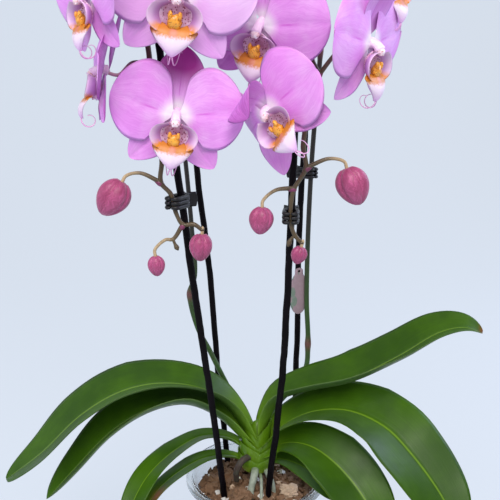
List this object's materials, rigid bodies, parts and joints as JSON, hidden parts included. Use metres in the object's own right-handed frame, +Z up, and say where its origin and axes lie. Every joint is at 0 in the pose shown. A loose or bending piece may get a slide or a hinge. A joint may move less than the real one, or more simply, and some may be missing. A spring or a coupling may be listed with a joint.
{
  "type": "potted orchid",
  "caption": "Moth orchid in a clear nursery pot of bark, with arching strap leaves and flower spikes trained over wire hoops, carrying pink blossoms and buds.",
  "frame": {"origin": "centre of the pot's underside, on the surface that the pot stands on", "axes": "+Z up; the viewer's side, where the racemes hang, is -Y; +X is to the viewer's right"},
  "size_m": [0.405, 0.1902, 0.646],
  "materials": {
    "clear_pot": "gloss",
    "bark": "matte",
    "pale_bark": "matte",
    "perlite": "matte",
    "crown": "satin",
    "root": "matte",
    "leaf": "gloss",
    "stem": "satin",
    "wire": "satin",
    "petal": "satin",
    "lip": "satin",
    "bud": "satin",
    "clip": "satin",
    "card": "matte"
  },
  "bodies": {
    "root": {"pot": "clear_pot", "bark_bed": "bark", "bark_chunk_brown": "bark", "bark_chunk_pale": "pale_bark", "bark_chunk_front": "pale_bark", "perlite": "perlite", "crown": "crown", "root_front": "root", "root_right": "root", "root_left": "root", "root_thin": "root", "root_back": "root", "leaf_left_top": "leaf", "leaf_left_under": "leaf", "leaf_left_front": "leaf", "leaf_left_low": "leaf", "leaf_right_top": "leaf", "leaf_right_under": "leaf", "leaf_right_front": "leaf", "leaf_right_low": "leaf", "spike_left": "stem", "spike_right": "stem", "hoop_left": "wire", "hoop_right": "wire", "blossom_a": "petal", "blossom_b": "petal", "blossom_c": "petal", "blossom_d": "petal", "blossom_e": "petal", "blossom_f": "petal", "blossom_g": "petal", "blossom_h": "petal", "blossom_i": "petal", "blossom_j": "petal", "blossom_k": "petal", "blossom_l": "petal", "lip_a": "lip", "lip_b": "lip", "lip_c": "lip", "lip_d": "lip", "lip_e": "lip", "lip_f": "lip", "lip_g": "lip", "lip_h": "lip", "lip_i": "lip", "lip_j": "lip", "lip_k": "lip", "lip_l": "lip", "bud_a": "bud", "bud_b": "bud", "bud_c": "bud", "bud_d": "bud", "bud_e": "bud", "bud_f": "bud", "clip_left_low": "clip", "clip_right_low": "clip", "clip_right_rear": "clip", "clip_right_high": "clip", "clip_left_high": "clip", "tag": "card"}
  },
  "joints": []
}
